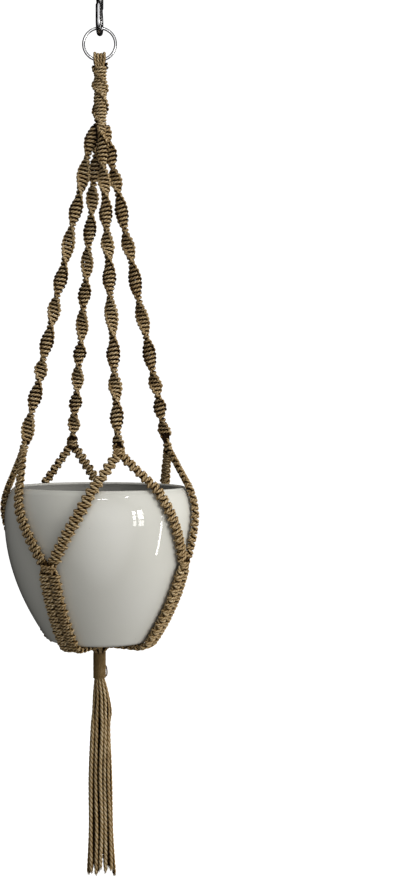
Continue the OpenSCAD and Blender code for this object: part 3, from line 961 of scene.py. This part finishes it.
def rod(name, node, material, path, across, radius, closed=False):
    """A round rod swept along a flat path. across is the direction square to the path's plane."""
    path = np.array(path, float)
    if closed:
        along = unit(np.roll(path, -1, 0) - np.roll(path, 1, 0))
        size = np.full(len(path), radius)
    else:
        along = unit(np.gradient(path, axis=0))
        dome = np.radians([88, 70, 50, 30, 12])
        first = [path[0] - along[0] * radius * math.sin(q) for q in dome]
        last = [path[-1] + along[-1] * radius * math.sin(q) for q in dome[::-1]]
        ends = radius * np.cos(dome)
        size = np.concatenate([ends, np.full(len(path), radius), ends[::-1]])
        along = np.vstack([[along[0]] * len(dome), along, [along[-1]] * len(dome)])
        path = np.vstack([first, path, last])
    sides, rings = 32, len(path)
    other = np.cross(along, across)
    q = np.arange(sides) * 2 * math.pi / sides
    around_rod = across * np.cos(q)[:, None] + other[:, None] * np.sin(q)[:, None]
    co = path[:, None] + around_rod * size[:, None, None]
    i, j = np.meshgrid(np.arange(rings if closed else rings - 1), np.arange(sides), indexing="ij")
    i2, j2 = (i + 1) % rings, (j + 1) % sides
    quads = np.stack([i * sides + j, i * sides + j2, i2 * sides + j2, i2 * sides + j], -1)
    faces = quads.reshape(-1, 4).tolist()
    if not closed:
        faces += [list(range(sides))[::-1], list(range((rings - 1) * sides, rings * sides))]
    mesh = bpy.data.meshes.new(name)
    mesh.from_pydata((co.reshape(-1, 3) * MM).tolist(), [], faces)
    mesh.polygons.foreach_set("use_smooth", np.ones(len(faces), bool))
    mesh.materials.append(material)
    piece = bpy.data.objects.new(name, mesh)
    scene.collection.objects.link(piece)
    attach(piece, node)
    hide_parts(node)


def hook_path():
    """From the lower free end round the lower bend, through the middle and round the upper bend."""
    half, touch = HOOK_SPAN / 2, math.acos(HOOK_BEND / (HOOK_SPAN / 2))
    free_end = [(-HOOK_BEND, z - half) for z in np.linspace(half - HOOK_WIRE / 4, 1, 8)]
    turns = np.linspace(math.pi, 2.5 * math.pi - touch, 60)
    bend = [(HOOK_BEND * math.cos(q), HOOK_BEND * math.sin(q) - half) for q in turns]
    lower = np.array(free_end + bend + [(bend[-1][0] * k, bend[-1][1] * k) for k in (0.75, 0.5, 0.25)])
    flat = np.vstack([lower, [[0, 0]], -lower[::-1]])
    turn = math.radians(HOOK_TURN)
    return [(y * math.sin(turn), y * math.cos(turn), HOOK_C + z) for y, z in flat]


hook_turn = math.radians(HOOK_TURN)
hook_across = np.array([math.cos(hook_turn), -math.sin(hook_turn), 0])
drawn_steel = steel_material("drawn_steel", (0.62, 0.62, 0.63), rough=0.2, brushed=True)
rod("drawn_hook", "s_hook", drawn_steel, hook_path(), hook_across, HOOK_WIRE / 2)

ring_angles = np.arange(120) * math.pi / 60
ring_path = [(RING_R * math.sin(q), 0, RING_LOW + RING_R - RING_R * math.cos(q)) for q in ring_angles]
ring_across = np.array([0.0, 1.0, 0.0])
polished_steel = steel_material("polished_steel", (0.8, 0.8, 0.81), rough=0.07, brushed=False)
rod("polished_ring", "ring", polished_steel, ring_path, ring_across, RING_WIRE / 2, closed=True)

# ---------- stage and light ----------


def disc(name, radius, z, material):
    q = np.arange(96) * 2 * math.pi / 96
    mesh = bpy.data.meshes.new(name)
    mesh.from_pydata([(radius * math.cos(a), radius * math.sin(a), z) for a in q], [], [list(range(96))])
    mesh.materials.append(material)
    obj = bpy.data.objects.new(name, mesh)
    scene.collection.objects.link(obj)
    return obj


pale = Nodes("pale_floor")
pale.set(Base_Color=(0.9, 0.9, 0.9, 1), Roughness=0.8, Emission_Color=(1, 1, 1, 1), Emission_Strength=0.8)
stage_floor = disc("stage_floor", 7.0, -1.06, pale.material)
stage_floor.visible_diffuse = False
stage_floor.visible_glossy = False

world = bpy.data.worlds.new("studio")
scene.world = world
world.use_nodes = True
tree = world.node_tree
tree.nodes.clear()


def world_node(kind, **settings):
    node = tree.nodes.new("ShaderNode" + kind)
    for key, value in settings.items():
        setattr(node, key, value)
    return node


def world_math(operation, a, b):
    node = world_node("Math", operation=operation)
    for index, value in enumerate((a, b)):
        if isinstance(value, bpy.types.NodeSocket):
            tree.links.new(value, node.inputs[index])
        else:
            node.inputs[index].default_value = value
    return node.outputs[0]


def world_spread(value, low, high, to_low, to_high):
    node = world_node("MapRange")
    tree.links.new(value, node.inputs["Value"])
    for key, number in (("From Min", low), ("From Max", high), ("To Min", to_low), ("To Max", to_high)):
        node.inputs[key].default_value = number
    return node.outputs[0]


def background(colour, strength):
    node = world_node("Background")
    node.inputs["Color"].default_value = colour
    if isinstance(strength, bpy.types.NodeSocket):
        tree.links.new(strength, node.inputs["Strength"])
    else:
        node.inputs["Strength"].default_value = strength
    return node.outputs[0]


def chosen(factor, plain, other):
    node = world_node("MixShader")
    for index, socket in enumerate((factor, plain, other)):
        tree.links.new(socket, node.inputs[index])
    return node.outputs[0]


split = world_node("SeparateXYZ")
tree.links.new(world_node("TexCoord").outputs["Generated"], split.inputs[0])
to_right, to_back, to_top = (split.outputs[axis] for axis in "XYZ")
sideways = world_math(
    "ADD", world_spread(to_right, -1.0, 1.0, 0.08, 0.45), world_spread(to_back, -1.0, 1.0, 0.08, -0.08)
)
fill = world_math("ADD", sideways, world_spread(to_top, -1.0, 1.0, -0.08, 0.08))
seen_in_gloss = world_math(
    "MULTIPLY", world_spread(to_back, -0.97, -0.68, 2.0, 0.0), world_spread(to_right, -1.0, 0.6, 0.4, 1.0)
)
ray = world_node("LightPath")
soft_fill = background((1, 0.985, 0.96, 1), fill)
reflected = background((1, 1, 1, 1), seen_in_gloss)
lit = chosen(ray.outputs["Is Glossy Ray"], soft_fill, reflected)
output = world_node("OutputWorld")
backdrop = background((1, 1, 1, 1), 1.1)
tree.links.new(chosen(ray.outputs["Is Camera Ray"], lit, backdrop), output.inputs[0])

AIM = Vector((0, 0, -0.57))


def softbox(name, az, distance, z, width, height, power, colour=(1, 1, 1), mirrored=False, roll=0):
    """A rectangular lamp at an azimuth from the front, aimed at AIM. Only mirrored ones show in gloss."""
    lamp = bpy.data.lights.new(name, "AREA")
    lamp.shape = "RECTANGLE"
    lamp.size, lamp.size_y = width, height
    lamp.energy = power
    lamp.color = colour
    obj = bpy.data.objects.new(name, lamp)
    scene.collection.objects.link(obj)
    obj.location = Vector(around(az, distance, z))
    aim = (AIM - obj.location).to_track_quat("-Z", "Y")
    obj.rotation_euler = (aim @ Quaternion((0, 0, 1), math.radians(roll))).to_euler()
    obj.visible_camera = False
    obj.visible_glossy = mirrored
    return obj


# the panes of a window: height, size and brightness of each row, azimuth and size of each column
WINDOW_ROWS = ((0.09, 0.27, 54), (-0.25, 0.27, 42), (-0.63, 0.32, 20))
WINDOW_COLUMNS = ((41.3, 0.15), (49.4, 0.29))
WINDOW_DISTANCE = 2.4
for row, (z, tall, radiance) in enumerate(WINDOW_ROWS):
    for column, (az, wide) in enumerate(WINDOW_COLUMNS):
        power = radiance * wide * tall
        pane = f"window_{row}{column}"
        softbox(pane, az, WINDOW_DISTANCE, z, wide, tall, power, (1, 0.98, 0.95), mirrored=True)
# name, azimuth, distance, height, width, tall, watts, colour
softbox("strip", 75.5, 1.0, -0.61, 0.034, 0.72, 1.3, (1, 0.98, 0.94), mirrored=True, roll=-8)
softbox("tube_front", 4, 1.9, 1.07, 0.46, 0.05, 1.6, mirrored=True)
softbox("tube_right", 40, 1.9, 1.07, 0.2, 0.05, 0.7, mirrored=True)
softbox("side", 112, 2.4, -0.2, 1.4, 2.0, 17, (1, 0.97, 0.92))
softbox("front_soft", 44, 3.0, 0.6, 1.6, 1.2, 11.5, (1, 0.985, 0.96))
softbox("left_soft", -100, 3.0, 0.0, 0.8, 1.8, 4, (0.95, 0.98, 1))
softbox("top", 10, 0.9, 1.5, 1.2, 0.8, 8)

scene.view_settings.view_transform = "Standard"
scene.view_settings.look = "None"
scene.view_settings.exposure = 0.0
